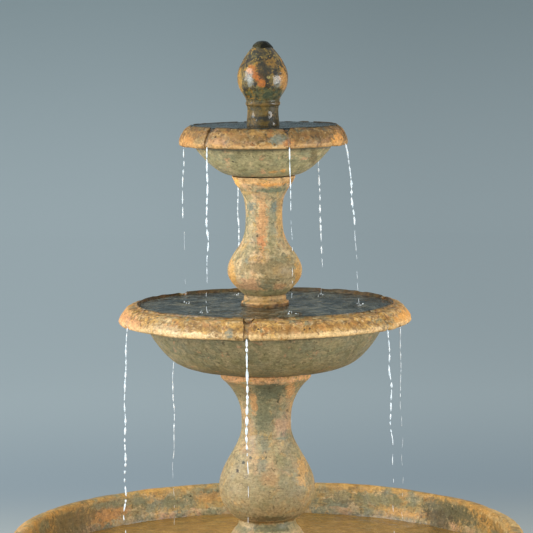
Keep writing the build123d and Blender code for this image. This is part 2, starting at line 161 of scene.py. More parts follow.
def node_section(node, angle):
    """The outline (r, z) of a turned CAD node, cut at an angle: a loop, or a line from axis to axis."""
    bm = bmesh.new()
    bm.from_mesh(frame["nodes"][node].data)
    bmesh.ops.remove_doubles(bm, verts=bm.verts, dist=1e-6)
    out = Vector(outward(angle))
    geometry = bm.verts[:] + bm.edges[:] + bm.faces[:]
    cut = bmesh.ops.bisect_plane(bm, geom=geometry, plane_co=(0, 0, 0), plane_no=out.cross((0, 0, 1)))
    links = {}
    for edge in cut["geom_cut"]:
        if isinstance(edge, bmesh.types.BMEdge) and min(v.co.dot(out) for v in edge.verts) > -1e-6:
            first, second = edge.verts
            links.setdefault(first, []).append(second)
            links.setdefault(second, []).append(first)
    ends = [v for v, others in links.items() if len(others) == 1]
    walk = [min(ends or links, key=lambda v: v.co.z)]
    while True:
        onward = [v for v in links[walk[-1]] if v not in walk[-2:]]
        if not onward or onward[0] is walk[0]:
            break
        walk.append(onward[0])
    outline = np.array([(max(v.co.dot(out), 0), v.co.z) for v in walk])
    bm.free()
    return outline, not ends


def plain_outline(outline, closed):
    """The outline without the points that lie on a straight line between their neighbours."""
    points = [p for i, p in enumerate(outline)
              if (i == 0 and not closed) or np.hypot(*(p - outline[i - 1])) > 1e-5]
    kept = []
    for i, point in enumerate(points):
        if not closed and i in (0, len(points) - 1):
            kept.append(point)
            continue
        before = point - points[i - 1]
        after = points[(i + 1) % len(points)] - point
        turn = before[0] * after[1] - before[1] * after[0]
        if abs(turn) > 2e-3 * np.hypot(*before) * np.hypot(*after):
            kept.append(point)
    return np.array(kept)


def worn_outline(outline, closed, spacing):
    """The outline with its corners rounded and no step longer than the spacing."""
    rounded = []
    count = len(outline)
    for i, point in enumerate(outline):
        before, after = outline[i - 1] - point, outline[(i + 1) % count] - point
        sizes = np.hypot(*before), np.hypot(*after)
        straight = -before.dot(after) / (sizes[0] * sizes[1])
        at_end = not closed and i in (0, count - 1)
        if at_end or straight > 0.94:
            rounded.append(point)
            continue
        cuts = [min(WEAR, 0.45 * size) / size for size in sizes]
        start, end = point + before * cuts[0], point + after * cuts[1]
        rounded += [start, (start + 2 * point + end) / 4, end]
    result = []
    last = len(rounded) if closed else len(rounded) - 1
    for i in range(last):
        start, end = rounded[i], rounded[(i + 1) % len(rounded)]
        steps = max(1, math.ceil(np.hypot(*(end - start)) / spacing))
        result += [start + (end - start) * step / steps for step in range(steps)]
    if not closed:
        result.append(rounded[-1])
    return np.array(result)


def winding(outline):
    """1 where a closed outline runs one way round its inside, -1 where it runs the other."""
    area = np.sum(outline[:, 0] * np.roll(outline[:, 1], -1) - np.roll(outline[:, 0], -1) * outline[:, 1])
    return np.sign(area)


def stone_outline(node, cut_angle, spacing):
    """A turned CAD node's outline with worn corners, and whether it is closed."""
    outline, closed = node_section(node, cut_angle)
    return worn_outline(plain_outline(outline, closed), closed, spacing), closed


def corners(outline, closed, reach):
    """How convex (above 0) or hollow (below 0) the outline is at each point, within its reach."""
    steps = np.hypot(*(np.roll(outline, -1, axis=0) - outline).T)
    if not closed:
        steps[-1] = 1.0
    along = np.concatenate(([0], np.cumsum(steps)[:-1]))
    total = along[-1] + steps[-1]

    def sample(where):
        track = np.concatenate((along, [total]))
        if closed:
            where = where % total
            ring = np.vstack((outline, outline[:1]))
        else:
            where = np.clip(where, 0, along[-1])
            ring = np.vstack((outline, outline[-1:]))
        return np.stack([np.interp(where, track, ring[:, axis]) for axis in (0, 1)], axis=1)

    before = outline - sample(along - reach)
    after = sample(along + reach) - outline
    lengths = np.hypot(*before.T) * np.hypot(*after.T) + 1e-12
    turn = (before[:, 0] * after[:, 1] - before[:, 1] * after[:, 0]) / lengths
    return turn * winding(outline)


def outward_normals(outline):
    """The direction out of the stone at each point of an outline."""
    along = np.roll(outline, -1, axis=0) - np.roll(outline, 1, axis=0)
    along /= np.hypot(*along.T)[:, None] + 1e-12
    normal = np.stack((along[:, 1], -along[:, 0]), axis=1) * winding(outline)
    normal[outline[:, 0] < 1e-6, 0] = 0
    return normal


def highest(outline):
    """The crest of a bowl's outline."""
    return outline[np.argmax(outline[:, 1] + 0.2 * outline[:, 0])]


def spillway_depth(outline, depth):
    """How deep a spillway is cut at each point of a bowl's outline."""
    crest = highest(outline)
    return depth * (0.6 + 0.4 * smooth_step(outline[:, 1], crest[1] - 0.04, crest[1]))


def ring_angles(count, spills, half_width):
    """Angles round a casting, with extra ones at the sides of each spillway."""
    beside = (0.3, 0.62, 0.76, 0.85, 0.93, 1.01, 1.10, 1.22, 1.4, 1.7)
    steps = [side * step for step in beside for side in (-1, 1)] + [0.0]
    angles = [s + half_width * step for s in spills for step in steps]
    for i in range(count):
        angle = 360.0 * i / count
        apart = min([abs((angle - s + 180) % 360 - 180) for s in spills], default=360)
        if apart > 2.0 * half_width:
            angles.append(angle)
    return np.sort(np.array(angles) % 360)


def spillways(outline, angles, spills, half_width, rim_low, seed):
    """Where a bowl's stone is in a spillway, in the painted shadow along one's walls, and inside the crest,
    each from 0 to 1.
    """
    rim_r, crest = outline[:, 0].max(), highest(outline)
    height = outline[:, 1] - outline[:, 1].min()
    on_rim = smooth_step(outline[:, 0], crest[0] - 0.026, crest[0] - 0.012)
    on_rim *= smooth_step(height, rim_low - 0.004, rim_low)
    beneath = 1 - smooth_step(height, rim_low + 0.001, rim_low + 0.003)
    on_rim *= 1 - beneath * (1 - smooth_step(outline[:, 0], rim_r - 0.022, rim_r - 0.010))
    flare = 0.72 + 0.70 * smooth_step(outline[:, 1], crest[1] - 0.016, crest[1] - 0.001)
    draw = np.random.default_rng(seed)
    groove, brink_shade = np.zeros((2, len(outline), len(angles)))
    for spill, share in spills:
        wide = half_width * draw.uniform(0.97, 1.05) * flare[:, None]
        aside = (angles - spill - draw.uniform(-0.08, 0.08) * half_width + 180) % 360 - 180
        across = np.where(aside < 0, 1 - smooth_step(-aside, 0.76 * wide, 1.04 * wide),
                          1 - smooth_step(aside, 0.25 * wide, 1.2 * wide))
        groove = np.maximum(groove, share * on_rim[:, None] * across)
        # Painted shadow along the spillway's walls: strong on the wall at the lower angle, faint on the
        # other.
        side = np.where(aside < 0, 1.0, 0.15) * share ** 2
        brink_shade = np.maximum(brink_shade, side * on_rim[:, None] * 4 * across * (1 - across))
    inside = 1 - smooth_step(outline[:, 0], crest[0] - 0.001, crest[0] + 0.004)
    inside *= smooth_step(outline[:, 1], crest[1] - 0.06, crest[1] - 0.05)
    return groove, brink_shade, inside[:, None] * (1 - groove)


def weathering(points, chips, uneven, seed):
    """How far weathered stone stands out at each point, with its corners chipped."""
    shift = uneven * (value_noise(points, 0.11, seed) + 0.45 * value_noise(points, 0.035, seed + 1))
    shift -= 0.6 * uneven * smooth_step(value_noise(points, 0.016, seed + 2), 0.45, 0.8)
    return shift - 2.2 * uneven * chips * smooth_step(value_noise(points, 0.022, seed + 3), 0.1, 0.7)


def between(height, pairs):
    """Whether each height lies between a low and a high one, from 0 to 1."""
    part = np.zeros(len(height))
    for low, high in pairs:
        below_top = 1 - smooth_step(height, high, high + 0.005)
        part = np.maximum(part, smooth_step(height, low - 0.003, low) * below_top)
    return part


def casting(name, material, cut_angle, spacing, around, seed, uneven, rims, noses=(), spills=(),
            spill_width=0.0, spill_depth=0.0, wet_below=0.0, wet_slope=-1.0, cutters=(), body="root"):
    """Turns a CAD node again as weathered stone.

    rims and noses are (low, high) heights above the node's lowest point: between them the stone has
    its rim look, and its edge colour, which on the bowls' noses is a painted highlight. spills are
    (angle, depth share) pairs. Under the height wet_below the stone is wet, where it faces up at
    least by the slope wet_slope.
    """
    outline, closed = stone_outline(name, cut_angle, spacing)
    half_width = math.degrees(spill_width / 2 / (0.93 * outline[:, 0].max())) if spills else 1.0
    angles = ring_angles(around, [angle for angle, _ in spills], half_width)
    rows, columns = len(outline), len(angles)
    normal = outward_normals(outline)
    verts, normals = turned(outline, np.radians(angles)), turned(normal, np.radians(angles))
    height = outline[:, 1] - outline[:, 1].min()
    convex = np.clip(corners(outline, closed, 0.007) * 1.3, 0, 1)
    # Concave corners get painted shade.
    hollow_shade = np.clip(-corners(outline, closed, 0.012) * 1.3, 0, 1)
    groove = brink_shade = inside = np.zeros((rows, columns))
    if spills:
        groove, brink_shade, inside = spillways(outline, angles, spills, half_width, rims[0][0], seed)
        verts -= normals * (groove * spillway_depth(outline, spill_depth)[:, None])[..., None]
        crest_z = highest(outline)[1]
        convex *= 1 - smooth_step(outline[:, 1], crest_z - 0.012, crest_z - 0.006)
    under_water = 1 - smooth_step(outline[:, 1], wet_below - 0.003, wet_below + 0.003)
    under_water *= normal[:, 1] >= wet_slope
    wet = np.maximum(np.maximum(0.12 * groove, inside), under_water[:, None])

    points = verts.reshape(-1, 3)
    chips = np.repeat(np.clip(corners(outline, closed, 0.006), 0, 1), columns)
    points = points + normals.reshape(-1, 3) * weathering(points, chips, uneven, seed)[:, None]
    piece = new_object(name + "_stone", points, ring_faces(rows, columns, closed))

    def layer(title, *parts):
        values = np.stack([np.broadcast_to(part, (rows, columns)).ravel() for part in parts], axis=1)
        attribute = piece.data.color_attributes.new(title, "FLOAT_COLOR", "POINT")
        attribute.data.foreach_set("color", values.ravel())

    # The edge colour: lighter worn edges, and a painted highlight along the bowls' noses.
    edge = np.maximum(convex, between(height, noses))
    # The second zone is painted shade in concave corners and inside the crest, beside the water.
    layer("zones", edge[:, None], np.maximum(hollow_shade[:, None], inside), brink_shade, between(height, rims)[:, None])
    layer("wetness", wet, wet, wet, 1.0)
    clean_axis(piece)
    if cutters:
        cut_away(piece, cutters)
    dress(piece, material, body, name)
    piece.data.set_sharp_from_angle(angle=math.radians(50))


def tube_faces(rows, columns):
    """Ring faces with the first and last ring closed."""
    last = (rows - 1) * columns
    return ring_faces(rows, columns) + [tuple(reversed(range(columns))), tuple(range(last, last + columns))]


def clean_axis(piece):
    """Merges the points on the axis into one, and makes the normals face out."""
    bm = bmesh.new()
    bm.from_mesh(piece.data)
    on_axis = [v for v in bm.verts if math.hypot(v.co.x, v.co.y) < 3e-5]
    bmesh.ops.remove_doubles(bm, verts=on_axis, dist=2e-3)
    bmesh.ops.dissolve_degenerate(bm, edges=bm.edges, dist=1e-6)
    bmesh.ops.recalc_face_normals(bm, faces=bm.faces)
    bm.to_mesh(piece.data)
    bm.free()


def cut_away(piece, cutters):
    """Cuts shapes out of a piece and removes them."""
    for cutter in cutters:
        cut = piece.modifiers.new("cut", "BOOLEAN")
        cut.operation = "DIFFERENCE"
        cut.solver = "EXACT"
        cut.object = cutter
    graph = bpy.context.evaluated_depsgraph_get()
    mesh = bpy.data.meshes.new_from_object(piece.evaluated_get(graph))
    piece.modifiers.clear()
    piece.data = mesh
    for cutter in cutters:
        bpy.data.objects.remove(cutter)


def upright_cutter(x, y, radius, low, high):
    """A round cutter from a low height to a high one."""
    bm = bmesh.new()
    place = Matrix.Translation((x, y, (low + high) / 2))
    bmesh.ops.create_cone(bm, cap_ends=True, segments=48, radius1=radius, radius2=radius,
                          depth=high - low, matrix=place)
    return cutter_object(bm)


def arch_cutter(angle, width, height, start, reach, floor):
    """An arch-topped cutter that runs outwards at an angle, standing on a floor."""
    half = width / 2
    spring = floor + height - half
    turns = np.linspace(0, math.pi, 17)
    outline = [(-half, floor - 0.01), (half, floor - 0.01)]
    outline += [(half * math.cos(turn), spring + half * math.sin(turn)) for turn in turns]
    bm = bmesh.new()
    out = Vector(outward(angle))
    side = Vector((0, 0, 1)).cross(out)
    face = bm.faces.new([bm.verts.new(side * x + out * start + Vector((0, 0, z))) for x, z in outline])
    grown = bmesh.ops.extrude_face_region(bm, geom=[face])["geom"]
    bmesh.ops.translate(bm, vec=out * reach, verts=[v for v in grown if isinstance(v, bmesh.types.BMVert)])
    bmesh.ops.recalc_face_normals(bm, faces=bm.faces)
    return cutter_object(bm)


def cutter_object(bm):
    mesh = bpy.data.meshes.new("cutter")
    bm.to_mesh(mesh)
    bm.free()
    return placed("cutter", mesh)


# ---------------- materials
class Nodes:
    """Builds a material's nodes. An input is a number, a colour or another node's output."""

    def __init__(self, name):
        self.material = bpy.data.materials.new(name)
        self.material.use_nodes = True
        self.tree = self.material.node_tree
        self.tree.nodes.clear()

    def add(self, kind, inputs=None, **settings):
        node = self.tree.nodes.new("ShaderNode" + kind)
        for key, value in settings.items():
            setattr(node, key, value)
        for key, value in (inputs or {}).items():
            if isinstance(value, bpy.types.NodeSocket):
                self.tree.links.new(value, node.inputs[key])
            else:
                node.inputs[key].default_value = value
        return node

    def place(self):
        return self.add("TexCoord").outputs["Object"]

    def squeezed(self, place, scale, shift=(0, 0, 0)):
        """A place scaled by three numbers and moved, for patterns that run one way."""
        return self.add("Mapping", {"Vector": place, "Scale": scale, "Location": shift}).outputs[0]

    def warped(self, place, scale, amount):
        drift = self.add("TexNoise", {"Vector": place, "Scale": scale, "Detail": 3.0}).outputs["Color"]
        centred = self.add("VectorMath", {0: drift, 1: (0.5, 0.5, 0.5)}, operation="SUBTRACT").outputs[0]
        return self.add("VectorMath", {0: centred, 1: (amount,) * 3, 2: place},
                        operation="MULTIPLY_ADD").outputs[0]

    def noise(self, place, scale, detail=4.0, roughness=0.55):
        inputs = {"Vector": place, "Scale": scale, "Detail": detail, "Roughness": roughness}
        return self.add("TexNoise", inputs).outputs["Fac"]

    def cells(self, place, scale):
        return self.add("TexVoronoi", {"Vector": place, "Scale": scale}).outputs["Distance"]

    def band(self, value, low, high, start=0.0, end=1.0):
        """value from low to high as start to end, eased and held at both ends."""
        inputs = {"Value": value, "From Min": low, "From Max": high, "To Min": start, "To Max": end}
        return self.add("MapRange", inputs, interpolation_type="SMOOTHSTEP").outputs[0]

    def math(self, operation, first, second=0.0):
        return self.add("Math", {0: first, 1: second}, operation=operation).outputs[0]

    def times(self, first, second):
        return self.math("MULTIPLY", first, second)

    def length(self, first, second):
        """How long the diagonal of two sides is."""
        return self.math("SQRT", self.math("ADD", self.times(first, first), self.times(second, second)))

    def mix(self, factor, first, second, blend="MIX"):
        node = self.add("Mix", {0: factor, 6: first, 7: second}, data_type="RGBA", blend_type=blend)
        return node.outputs[2]

    def stained(self, colour, mask, strength, stain, light=1.0):
        """The colour under a stain, where its mask is."""
        return self.mix(self.times(mask, strength), colour, rgb(*stain, light))

    def shaded(self, colour, pattern, low, high, dim, light, strength):
        """The colour darkened and lightened by a pattern."""
        shade = self.mix(self.band(pattern, low, high), (*dim, 1), (*light, 1))
        return self.mix(strength, colour, shade, "MULTIPLY")

    def bump(self, height, strength, distance, under=None):
        inputs = {"Height": height, "Strength": strength, "Distance": distance}
        if under:
            inputs["Normal"] = under
        return self.add("Bump", inputs).outputs[0]

    def finish(self, **inputs):
        shader = self.add("BsdfPrincipled", {k.replace("_", " "): v for k, v in inputs.items()})
        self.add("OutputMaterial", {"Surface": shader.outputs[0]})
        return self.material


# Colours are sRGB values of 0 to 255.
SAND = (196, 174, 132)
TAN = (166, 148, 110)
OLIVE = (136, 130, 94)
DEEP_OLIVE = (104, 100, 70)
GREY_GREEN = (124, 128, 104)
SLATE = (112, 122, 112)
BLUSH = (206, 156, 116)
RUST = (190, 124, 66)
GOLD = (204, 158, 84)
CREAM = (228, 198, 150)
BROWN = (116, 84, 44)
DARK = (52, 46, 32)
BRINK_SHADE = (74, 50, 24)

# A look is two ground colours, its stains and how light it is. A stain is its colour, the size of its patches
# in metres, the share it covers, how soft its edge is (0 to 0.3), how many times taller than wide its patches
# are and how strong it is.
PEDESTAL_LOOK = ((SAND, TAN), (
    (GREY_GREEN, 0.055, 0.45, 0.12, 1.5, 0.75), (BLUSH, 0.05, 0.34, 0.12, 2.0, 0.65),
    (OLIVE, 0.028, 0.38, 0.12, 1.2, 0.65), (SLATE, 0.022, 0.18, 0.06, 1.0, 0.5),
    (GOLD, 0.018, 0.2, 0.08, 1.2, 0.6), (SAND, 0.01, 0.3, 0.1, 1.0, 0.6),
    (DEEP_OLIVE, 0.009, 0.22, 0.08, 1.0, 0.6)), 1.0)
UPPER_LOOK = (((220, 192, 148), (190, 168, 126)), PEDESTAL_LOOK[1], 1.0)
LOWER_LOOK = (((170, 154, 119), (156, 142, 108)),
              tuple((*stain[:5], 0.6 * stain[5]) for stain in PEDESTAL_LOOK[1]), 1.0)
RIM_LOOK = (((172, 130, 66), (188, 148, 84)), (
    (TAN, 0.036, 0.34, 0.07, 0.8, 0.85), (BROWN, 0.03, 0.32, 0.07, 0.8, 0.7),
    (GOLD, 0.022, 0.34, 0.07, 0.8, 0.85), (GREY_GREEN, 0.022, 0.16, 0.04, 1.0, 0.85),
    (BLUSH, 0.026, 0.18, 0.06, 1.0, 0.65), (RUST, 0.014, 0.22, 0.06, 1.0, 0.65),
    (BROWN, 0.01, 0.3, 0.07, 1.0, 0.8), (CREAM, 0.009, 0.2, 0.06, 1.0, 0.6),
    ((84, 62, 34), 0.007, 0.14, 0.05, 1.0, 0.8)), 1.0)
# The top rim: the rim look darkened, as painted shade.
SHADED_TOP_RIM_LOOK = (*RIM_LOOK[:2], 0.55)
UNDERSIDE_LOOK = (((164, 152, 114), (146, 138, 100)), (
    (GREY_GREEN, 0.05, 0.34, 0.16, 0.6, 0.5), (SAND, 0.018, 0.26, 0.12, 0.8, 0.5),
    (DEEP_OLIVE, 0.01, 0.2, 0.1, 0.8, 0.4), (BLUSH, 0.022, 0.05, 0.05, 0.6, 0.7)), 1.0)
# Darker and lighter copies of the underside look, for the middle and top bowls: painted shade and painted
# light.
SHADED_UNDERSIDE_LOOK = (*UNDERSIDE_LOOK[:2], 0.80)
LIT_TOP_UNDERSIDE_LOOK = (*UNDERSIDE_LOOK[:2], 1.18)
BASIN_LOOK = (((176, 144, 86), (160, 144, 102)), (
    (GREY_GREEN, 0.11, 0.4, 0.1, 0.6, 0.75), ((192, 148, 78), 0.07, 0.3, 0.1, 0.6, 0.75),
    (BROWN, 0.04, 0.18, 0.08, 0.6, 0.5), (CREAM, 0.03, 0.1, 0.06, 0.5, 0.5),
    (RUST, 0.03, 0.08, 0.06, 0.7, 0.5), (DEEP_OLIVE, 0.012, 0.24, 0.1, 1.0, 0.6)), 1.0)
FINIAL_LOOK = (((156, 132, 56), (100, 82, 34)), (
    ((88, 100, 74), 0.034, 0.22, 0.08, 1.0, 0.6), ((206, 150, 32), 0.018, 0.32, 0.06, 1.0, 0.85),
    ((30, 28, 16), 0.01, 0.44, 0.08, 1.0, 0.9), ((214, 178, 84), 0.006, 0.16, 0.05, 1.0, 0.7)), 1.0)
NECK_LOOK = (((118, 98, 44), (84, 72, 34)), (
    ((140, 124, 74), 0.02, 0.26, 0.08, 0.8, 0.7), ((54, 60, 52), 0.016, 0.24, 0.08, 0.7, 0.8),
    ((166, 130, 56), 0.01, 0.26, 0.08, 0.6, 0.6)), 1.0)

# Blotches on one face of a casting, with each one's middle (x, z), its reach along x and z, its colour and
# its strength. Most are stains; the ones marked below are painted highlights, reflections and shade.
BASIN_BLOTCHES = (
    (-0.42, 0.425, 0.05, 0.022, (196, 140, 76), 0.8), (-0.5, 0.435, 0.06, 0.04, (112, 100, 68), 0.8),
    (-0.36, 0.448, 0.06, 0.01, (128, 128, 96), 0.7), (-0.25, 0.43, 0.05, 0.014, (126, 126, 98), 0.8),
    (-0.15, 0.44, 0.04, 0.014, (198, 148, 84), 0.6), (0.3, 0.44, 0.08, 0.016, (130, 126, 88), 0.8),
    (0.36, 0.412, 0.06, 0.01, (200, 152, 84), 0.8), (0.47, 0.438, 0.07, 0.026, (98, 96, 70), 0.9),
    (0.44, 0.415, 0.04, 0.02, (92, 80, 52), 0.8), (0.59, 0.462, 0.04, 0.016, (210, 184, 132), 0.7),
    (-0.61, 0.462, 0.02, 0.016, (212, 172, 122), 0.7))
LOWER_BLOTCHES = (
    (0.01, 0.826, 0.044, 0.026, (96, 102, 84), 0.9), (0.058, 0.822, 0.011, 0.028, (214, 162, 110), 0.8),
    (-0.004, 0.764, 0.026, 0.04, (116, 118, 92), 0.75), (-0.07, 0.81, 0.022, 0.03, OLIVE, 0.7),
    (-0.01, 0.64, 0.014, 0.024, SLATE, 0.6), (0.03, 0.655, 0.012, 0.02, OLIVE, 0.6),
    (-0.05, 0.57, 0.03, 0.012, GREY_GREEN, 0.5), (0.06, 0.585, 0.02, 0.016, SLATE, 0.4),
    (-0.03, 0.79, 0.008, 0.026, (210, 156, 102), 0.7), (0.04, 0.735, 0.018, 0.022, (200, 158, 124), 0.7),
    (0.04, 0.703, 0.019, 0.0026, (128, 132, 108), 0.8), (0.004, 0.615, 0.022, 0.016, (208, 156, 110), 0.6),
    (0.048, 0.6, 0.02, 0.03, (138, 136, 106), 0.4), (-0.062, 0.6, 0.04, 0.06, (162, 146, 112), 0.7),
    # The second blotch on this line is a painted shadow, a dark band at the bottom of the bulb.
    (0.01, 0.57, 0.11, 0.07, (136, 126, 92), 0.5), (0.01, 0.514, 0.06, 0.008, (88, 86, 62), 0.8),
    (-0.006, 0.69, 0.012, 0.026, SLATE, 0.5), (0.084, 0.622, 0.014, 0.03, (206, 160, 96), 0.7),
    (-0.04, 0.858, 0.06, 0.006, (240, 182, 120), 0.8), (-0.05, 0.492, 0.02, 0.008, (226, 196, 150), 0.8),
    (0.01, 0.486, 0.045, 0.01, (92, 96, 72), 0.8), (-0.07, 0.63, 0.0036, 0.0036, DARK, 1.0),
    (-0.056, 0.648, 0.0036, 0.0036, (66, 66, 54), 1.0), (-0.038, 0.66, 0.003, 0.0034, (78, 80, 66), 0.9),
    (-0.001, 0.664, 0.0028, 0.0034, (78, 80, 66), 0.9), (0.03, 0.796, 0.003, 0.0036, (74, 74, 56), 0.9),
    (0.05, 0.769, 0.0032, 0.0036, (92, 80, 52), 0.9), (0.078, 0.617, 0.0034, 0.004, (92, 90, 66), 0.8))
UPPER_BLOTCHES = (
    (-0.005, 1.222, 0.014, 0.066, (212, 156, 104), 0.75), (-0.03, 1.262, 0.01, 0.013, SLATE, 0.85),
    (0.026, 1.262, 0.011, 0.014, SLATE, 0.85), (0.02, 1.19, 0.01, 0.05, OLIVE, 0.55),
    (-0.006, 1.18, 0.009, 0.016, (216, 144, 94), 0.7), (0.036, 1.23, 0.008, 0.06, (196, 150, 84), 0.6),
    (-0.034, 1.078, 0.034, 0.02, (204, 158, 120), 0.75), (0.004, 1.082, 0.022, 0.02, GREY_GREEN, 0.85),
    (0.036, 1.074, 0.014, 0.01, (206, 156, 112), 0.7), (0.0, 1.057, 0.09, 0.008, (140, 136, 98), 0.8),
    (0.0, 1.122, 0.06, 0.014, (140, 116, 76), 0.6), (0.03, 1.116, 0.05, 0.036, (126, 112, 76), 0.6),
    # On this line: painted highlights, gold, along the left and right sides of the bulb.
    (-0.078, 1.095, 0.009, 0.036, (206, 158, 84), 0.8), (0.08, 1.095, 0.009, 0.036, (200, 150, 72), 0.8),
    (-0.07, 1.318, 0.014, 0.012, (242, 184, 92), 0.9), (0.016, 1.318, 0.034, 0.006, (228, 158, 82), 0.9),
    # On this line: painted shade, a grey band under the collar and a grey line under the top bowl.
    (0.016, 1.303, 0.04, 0.006, (124, 130, 106), 0.9), (0.0, 1.3325, 0.06, 0.002, (120, 126, 108), 0.8),
    (-0.04, 1.296, 0.02, 0.004, (190, 156, 100), 0.7))
MIDDLE_BLOTCHES = (
    (-0.325, 0.992, 0.034, 0.024, (212, 154, 108), 0.8), (-0.082, 0.996, 0.011, 0.01, SLATE, 0.85),
    # On this line: painted highlights, cream, along the rim's lower nose.
    (-0.19, 0.99, 0.08, 0.007, (238, 208, 162), 0.85), (0.15, 0.989, 0.12, 0.006, (236, 196, 138), 0.85),
    # The first blotch on this line and on the next: painted shade, darker brown on the rim's upward slope.
    (0.12, 1.006, 0.13, 0.008, (176, 126, 62), 0.5), (0.33, 1.0, 0.03, 0.012, (222, 160, 80), 0.8),
    (-0.15, 1.008, 0.08, 0.008, (140, 108, 66), 0.5), (-0.23, 1.0, 0.04, 0.008, (206, 182, 142), 0.6),
    (0.05, 1.0, 0.02, 0.012, (150, 104, 48), 0.5), (-0.034, 0.998, 0.01, 0.016, (150, 108, 58), 0.7))
TOP_BLOTCHES = (
    (0.034, 1.428, 0.02, 0.012, SLATE, 0.85), (-0.105, 1.424, 0.02, 0.014, (196, 146, 102), 0.6),
    (-0.18, 1.42, 0.014, 0.02, (206, 146, 80), 0.6), (0.062, 1.42, 0.014, 0.01, RUST, 0.7),
    (-0.14, 1.438, 0.04, 0.006, (128, 98, 58), 0.7), (-0.15, 1.422, 0.014, 0.008, (140, 124, 88), 0.7),
    (-0.07, 1.436, 0.03, 0.007, (150, 112, 62), 0.7), (0.118, 1.38, 0.01, 0.022, (104, 90, 56), 0.7),
    # The second blotch on this line is a painted highlight, a cream line along the rim's lower edge.
    (0.11, 1.44, 0.05, 0.006, BROWN, 0.7), (-0.01, 1.413, 0.09, 0.003, CREAM, 0.6),
    (-0.02, 1.43, 0.03, 0.006, (96, 78, 44), 0.5), (0.176, 1.424, 0.012, 0.016, (226, 160, 84), 0.8),
    (0.026, 1.35, 0.012, 0.004, (216, 160, 92), 0.8), (0.046, 1.352, 0.006, 0.004, (226, 168, 92), 0.8))
FINIAL_BLOTCHES = (
    (-0.027, 1.59, 0.011, 0.009, (222, 138, 44), 0.95), (-0.016, 1.576, 0.01, 0.011, (216, 122, 36), 0.9),
    (-0.009, 1.568, 0.01, 0.011, (218, 124, 38), 0.9), (-0.002, 1.559, 0.01, 0.01, (220, 130, 44), 0.95),
    # On this line: painted reflections of the left and right softboxes, bluish white.
    (-0.029, 1.561, 0.008, 0.014, (178, 188, 190), 0.85), (0.036, 1.554, 0.012, 0.007, (150, 160, 154), 0.7),
    # On this line: painted highlights, gold, along the left and right sides of the bulb.
    (-0.055, 1.56, 0.006, 0.034, (214, 164, 52), 0.85), (0.05, 1.566, 0.01, 0.024, (228, 166, 74), 0.85),
    (0.018, 1.604, 0.014, 0.012, (176, 132, 44), 0.8), (-0.004, 1.632, 0.016, 0.01, (60, 56, 38), 0.7),
    (0.004, 1.585, 0.018, 0.022, (44, 44, 32), 0.85), (0.008, 1.53, 0.04, 0.016, (104, 122, 102), 0.7),
    (0.014, 1.572, 0.004, 0.004, (210, 196, 130), 0.8), (0.008, 1.474, 0.018, 0.006, (40, 50, 52), 0.8))


def mottled(n, place, look, shift):
    """The colour of stone: a ground of two colours under stains."""
    ground, stains, light = look
    colour = n.mix(n.band(n.noise(place, 30.0, 5.0), 0.40, 0.60), *(rgb(*tone, light) for tone in ground))
    for i, (stain, size, cover, soft, tall, strength) in enumerate(stains):
        spot = n.squeezed(place, (1, 1, 1 / tall), (shift + 1.3 * i, 0.7 * i, 2.1 * i))
        level = 0.5 + 0.3 * (0.5 - cover)
        patch = n.band(n.noise(spot, 0.8 / size, 6.0, 0.6), level - soft / 2, level + soft / 2)
        colour = n.stained(colour, patch, strength, stain, light)
    return colour


def blotched(n, ragged, colour, blotches, behind):
    """The colour under ragged blotches on the front, or behind."""
    where = n.add("SeparateXYZ", {0: ragged})
    facing = n.band(where.outputs[1], -0.004, 0.004, float(not behind), float(behind))
    fray = n.band(n.noise(ragged, 90.0, 5.0, 0.7), 0.3, 0.7, -0.5, 0.5)
    for x, z, wide, tall, stain, strength in blotches:
        aside = n.math("DIVIDE", n.math("SUBTRACT", where.outputs[0], x), wide)
        above = n.math("DIVIDE", n.math("SUBTRACT", where.outputs[2], z), tall)
        away = n.length(aside, above)
        inside = n.band(n.math("ADD", away, fray), 0.65, 1.20, strength, 0.0)
        colour = n.stained(colour, inside, facing, stain)
    return colour


